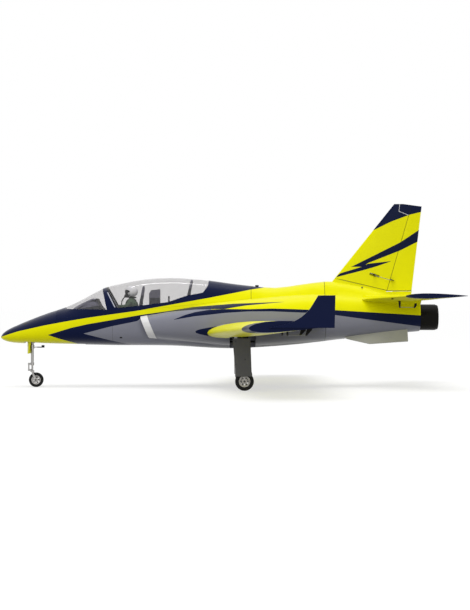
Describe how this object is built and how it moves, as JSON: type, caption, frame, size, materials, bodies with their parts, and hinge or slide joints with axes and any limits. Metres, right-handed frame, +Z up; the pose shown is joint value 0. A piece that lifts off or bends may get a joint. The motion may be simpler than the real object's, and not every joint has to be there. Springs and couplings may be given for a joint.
{
  "type": "radio controlled ducted fan jet aeroplane",
  "caption": "Radio-controlled sport jet aeroplane with a ducted fan, tandem canopy, winglets, hinged control surfaces and retracting tricycle undercarriage.",
  "frame": {"origin": "on the ground, at the middle of the overall box", "axes": "-X towards the nose, -Y towards the left wing, +Z up"},
  "size_m": [1.4596, 1.4, 0.59],
  "materials": {
    "grey_foam": "painted expanded foam, fine bead texture, satin grey",
    "yellow_foam": "painted expanded foam, fine bead texture, satin yellow",
    "navy_foam": "painted expanded foam, satin navy",
    "light_grey_plastic": "moulded plastic, satin light grey",
    "black_plastic": "glass-filled nylon, satin black",
    "dark_grey_plastic": "moulded plastic, satin dark grey",
    "cockpit_grey": "vacuum-formed plastic, matt grey",
    "pilot_suit": "painted figure, matt",
    "clear_canopy": "clear moulded plastic glazing",
    "plywood": "bare birch plywood",
    "carbon": "wound carbon fibre tube",
    "battery_wrap": "shrink-wrapped pack, glossy blue",
    "gunmetal": "anodised aluminium, dark grey",
    "bare_aluminium": "machined aluminium, satin",
    "steel_wire": "drawn steel wire",
    "tyre_rubber": "matt black rubber"
  },
  "bodies": {
    "airframe": {"fuselage_front": "grey_foam", "fuselage_rear": "yellow_foam", "intake_lips": "light_grey_plastic", "fan_housing": "black_plastic", "exhaust_pipe": "black_plastic", "wing_carrier": "plywood", "spar_tubes": "carbon", "left_wing": "yellow_foam", "right_wing": "yellow_foam", "fin": "yellow_foam", "left_stabiliser": "yellow_foam", "right_stabiliser": "yellow_foam", "ventral_fins": "grey_foam", "flight_battery": "battery_wrap", "electronics": "black_plastic", "servos": "black_plastic", "retract_units": "gunmetal"},
    "hatch": {"hatch_frame": "navy_foam", "canopy_glass": "clear_canopy", "cockpit_tub": "cockpit_grey", "pilot": "pilot_suit"},
    "fan": {"fan_rotor": "black_plastic"},
    "latch": {"hatch_latch": "black_plastic"},
    "nose_trunnion": {"nose_trunnion": "bare_aluminium", "nose_door": "yellow_foam"},
    "nose_strut": {"nose_strut": "bare_aluminium"},
    "nose_fork": {"nose_fork": "bare_aluminium"},
    "nose_wheel": {"nose_wheel": "bare_aluminium", "nose_tyre": "tyre_rubber"},
    "left_aileron": {"left_aileron": "navy_foam"},
    "left_aileron_arm": {"left_aileron_arm": "black_plastic"},
    "left_aileron_rod": {"left_aileron_rod": "steel_wire"},
    "left_flap": {"left_flap": "yellow_foam"},
    "left_flap_arm": {"left_flap_arm": "black_plastic"},
    "left_flap_rod": {"left_flap_rod": "steel_wire"},
    "left_elevator": {"left_elevator": "yellow_foam"},
    "left_elevator_arm": {"left_elevator_arm": "black_plastic"},
    "left_elevator_rod": {"left_elevator_rod": "steel_wire"},
    "left_leg": {"left_leg": "bare_aluminium", "left_leg_cover": "dark_grey_plastic"},
    "left_link": {"left_link": "bare_aluminium"},
    "left_wheel": {"left_wheel": "bare_aluminium", "left_tyre": "tyre_rubber"},
    "right_aileron": {"right_aileron": "navy_foam"},
    "right_aileron_arm": {"right_aileron_arm": "black_plastic"},
    "right_aileron_rod": {"right_aileron_rod": "steel_wire"},
    "right_flap": {"right_flap": "yellow_foam"},
    "right_flap_arm": {"right_flap_arm": "black_plastic"},
    "right_flap_rod": {"right_flap_rod": "steel_wire"},
    "right_elevator": {"right_elevator": "yellow_foam"},
    "right_elevator_arm": {"right_elevator_arm": "black_plastic"},
    "right_elevator_rod": {"right_elevator_rod": "steel_wire"},
    "right_leg": {"right_leg": "bare_aluminium", "right_leg_cover": "dark_grey_plastic"},
    "right_link": {"right_link": "bare_aluminium"},
    "right_wheel": {"right_wheel": "bare_aluminium", "right_tyre": "tyre_rubber"},
    "rudder": {"rudder": "yellow_foam"},
    "rudder_arm": {"rudder_arm": "black_plastic"},
    "rudder_rod": {"rudder_rod": "steel_wire"}
  },
  "joints": [
    {"name": "left_aileron", "type": "hinge", "parent": "airframe", "child": "left_aileron", "pos_m": [0.22971, -0.478, 0.20426], "axis": [-0.0371, 0.9991, -0.0196], "range_deg": [-22, 22]},
    {"name": "left_aileron_servo", "type": "hinge", "parent": "airframe", "child": "left_aileron_arm", "pos_m": [0.17575, -0.48, 0.2043], "axis": [-0.0371, 0.9991, -0.0196], "range_deg": [-22, 22]},
    {"name": "left_aileron_wire", "type": "hinge", "parent": "left_aileron_arm", "child": "left_aileron_rod", "pos_m": [0.17575, -0.48053, 0.17731], "axis": [-0.0371, 0.9991, -0.0196], "range_deg": [-22, 22]},
    {"name": "right_aileron", "type": "hinge", "parent": "airframe", "child": "right_aileron", "pos_m": [0.22971, 0.478, 0.20426], "axis": [0.0371, 0.9991, 0.0196], "range_deg": [-22, 22]},
    {"name": "right_aileron_servo", "type": "hinge", "parent": "airframe", "child": "right_aileron_arm", "pos_m": [0.17575, 0.48, 0.2043], "axis": [0.0371, 0.9991, 0.0196], "range_deg": [-22, 22]},
    {"name": "right_aileron_wire", "type": "hinge", "parent": "right_aileron_arm", "child": "right_aileron_rod", "pos_m": [0.17575, 0.48053, 0.17731], "axis": [0.0371, 0.9991, 0.0196], "range_deg": [-22, 22]},
    {"name": "left_flap", "type": "hinge", "parent": "airframe", "child": "left_flap", "pos_m": [0.22196, -0.269, 0.20017], "axis": [-0.0371, 0.9991, -0.0196], "range_deg": [0, 35]},
    {"name": "left_flap_servo", "type": "hinge", "parent": "airframe", "child": "left_flap_arm", "pos_m": [0.168, -0.271, 0.2002], "axis": [-0.0371, 0.9991, -0.0196], "range_deg": [0, 35]},
    {"name": "left_flap_wire", "type": "hinge", "parent": "left_flap_arm", "child": "left_flap_rod", "pos_m": [0.168, -0.27153, 0.17321], "axis": [-0.0371, 0.9991, -0.0196], "range_deg": [-35, 0]},
    {"name": "right_flap", "type": "hinge", "parent": "airframe", "child": "right_flap", "pos_m": [0.22196, 0.269, 0.20017], "axis": [0.0371, 0.9991, 0.0196], "range_deg": [0, 35]},
    {"name": "right_flap_servo", "type": "hinge", "parent": "airframe", "child": "right_flap_arm", "pos_m": [0.168, 0.271, 0.2002], "axis": [0.0371, 0.9991, 0.0196], "range_deg": [0, 35]},
    {"name": "right_flap_wire", "type": "hinge", "parent": "right_flap_arm", "child": "right_flap_rod", "pos_m": [0.168, 0.27153, 0.17321], "axis": [0.0371, 0.9991, 0.0196], "range_deg": [-35, 0]},
    {"name": "left_elevator", "type": "hinge", "parent": "airframe", "child": "left_elevator", "pos_m": [0.59244, -0.088, 0.284], "axis": [-0.3987, 0.9163, -0.0382], "range_deg": [-20, 20]},
    {"name": "left_elevator_servo", "type": "hinge", "parent": "airframe", "child": "left_elevator_arm", "pos_m": [0.54292, -0.10951, 0.2849], "axis": [-0.3987, 0.9163, -0.0382], "range_deg": [-20, 20]},
    {"name": "left_elevator_wire", "type": "hinge", "parent": "left_elevator_arm", "child": "left_elevator_rod", "pos_m": [0.54292, -0.11064, 0.25792], "axis": [-0.3987, 0.9163, -0.0382], "range_deg": [-20, 20]},
    {"name": "right_elevator", "type": "hinge", "parent": "airframe", "child": "right_elevator", "pos_m": [0.59244, 0.088, 0.284], "axis": [0.3987, 0.9163, 0.0382], "range_deg": [-20, 20]},
    {"name": "right_elevator_servo", "type": "hinge", "parent": "airframe", "child": "right_elevator_arm", "pos_m": [0.54292, 0.10951, 0.2849], "axis": [0.3987, 0.9163, 0.0382], "range_deg": [-20, 20]},
    {"name": "right_elevator_wire", "type": "hinge", "parent": "right_elevator_arm", "child": "right_elevator_rod", "pos_m": [0.54292, 0.11064, 0.25792], "axis": [0.3987, 0.9163, 0.0382], "range_deg": [-20, 20]},
    {"name": "rudder", "type": "hinge", "parent": "airframe", "child": "rudder", "pos_m": [0.52548, 0, 0.346], "axis": [-0.2842, 0, -0.9588], "range_deg": [-25, 25]},
    {"name": "rudder_servo", "type": "hinge", "parent": "airframe", "child": "rudder_arm", "pos_m": [0.47371, 0, 0.36134], "axis": [-0.2842, 0, -0.9588], "range_deg": [-25, 25]},
    {"name": "rudder_wire", "type": "hinge", "parent": "rudder_arm", "child": "rudder_rod", "pos_m": [0.47371, -0.027, 0.36134], "axis": [-0.2842, 0, -0.9588], "range_deg": [-25, 25]},
    {"name": "fan_spin", "type": "hinge", "parent": "airframe", "child": "fan", "pos_m": [0.256, 0, 0.225], "axis": [1, 0, 0], "continuous": true},
    {"name": "hatch_lift", "type": "slide", "parent": "airframe", "child": "hatch", "axis": [0, 0, 1], "range_m": [0, 0.16]},
    {"name": "latch_slide", "type": "slide", "parent": "airframe", "child": "latch", "axis": [-1, 0, 0], "range_m": [0, 0.005]},
    {"name": "left_main_retract", "type": "hinge", "parent": "airframe", "child": "left_leg", "pos_m": [0.027, -0.2, 0.175], "axis": [1, 0, 0], "range_deg": [0, 90]},
    {"name": "left_trailing_link", "type": "hinge", "parent": "left_leg", "child": "left_link", "pos_m": [0.027, -0.2, 0.056], "axis": [0, -1, 0], "range_deg": [0, 10], "stiffness_Nm_per_rad": 6, "springref_deg": -8.02},
    {"name": "left_wheel_spin", "type": "hinge", "parent": "left_link", "child": "left_wheel", "pos_m": [0.054, -0.2, 0.029], "axis": [0, 1, 0], "continuous": true},
    {"name": "right_main_retract", "type": "hinge", "parent": "airframe", "child": "right_leg", "pos_m": [0.027, 0.2, 0.175], "axis": [1, 0, 0], "range_deg": [-90, 0]},
    {"name": "right_trailing_link", "type": "hinge", "parent": "right_leg", "child": "right_link", "pos_m": [0.027, 0.2, 0.056], "axis": [0, -1, 0], "range_deg": [0, 10], "stiffness_Nm_per_rad": 6, "springref_deg": -8.02},
    {"name": "right_wheel_spin", "type": "hinge", "parent": "right_link", "child": "right_wheel", "pos_m": [0.054, 0.2, 0.029], "axis": [0, 1, 0], "continuous": true},
    {"name": "nose_retract", "type": "hinge", "parent": "airframe", "child": "nose_trunnion", "pos_m": [-0.629, 0, 0.165], "axis": [0, -1, 0], "range_deg": [0, 90]},
    {"name": "nose_steering", "type": "hinge", "parent": "nose_trunnion", "child": "nose_strut", "pos_m": [-0.629, 0, 0.1], "axis": [0, 0, 1], "range_deg": [-25, 25]},
    {"name": "nose_oleo", "type": "slide", "parent": "nose_strut", "child": "nose_fork", "axis": [0, 0, 1], "range_m": [0, 0.008], "stiffness_N_per_m": 1500, "springref_m": -0.012},
    {"name": "nose_wheel_spin", "type": "hinge", "parent": "nose_fork", "child": "nose_wheel", "pos_m": [-0.6164, 0, 0.0235], "axis": [0, 1, 0], "continuous": true}
  ],
  "couplings": [
    {"joint": "left_aileron_servo", "follows": "left_aileron", "ratio": 1},
    {"joint": "left_aileron_wire", "follows": "left_aileron", "ratio": -1},
    {"joint": "right_aileron", "follows": "left_aileron", "ratio": -1},
    {"joint": "right_aileron_servo", "follows": "left_aileron", "ratio": -1},
    {"joint": "right_aileron_wire", "follows": "left_aileron", "ratio": 1},
    {"joint": "left_flap_servo", "follows": "left_flap", "ratio": 1},
    {"joint": "left_flap_wire", "follows": "left_flap", "ratio": -1},
    {"joint": "right_flap", "follows": "left_flap", "ratio": 1},
    {"joint": "right_flap_servo", "follows": "left_flap", "ratio": 1},
    {"joint": "right_flap_wire", "follows": "left_flap", "ratio": -1},
    {"joint": "left_elevator_servo", "follows": "left_elevator", "ratio": 1},
    {"joint": "left_elevator_wire", "follows": "left_elevator", "ratio": -1},
    {"joint": "right_elevator", "follows": "left_elevator", "ratio": 1},
    {"joint": "right_elevator_servo", "follows": "left_elevator", "ratio": 1},
    {"joint": "right_elevator_wire", "follows": "left_elevator", "ratio": -1},
    {"joint": "rudder_servo", "follows": "rudder", "ratio": 1},
    {"joint": "rudder_wire", "follows": "rudder", "ratio": -1},
    {"joint": "right_main_retract", "follows": "left_main_retract", "ratio": -1},
    {"joint": "nose_retract", "follows": "left_main_retract", "ratio": 1}
  ]
}
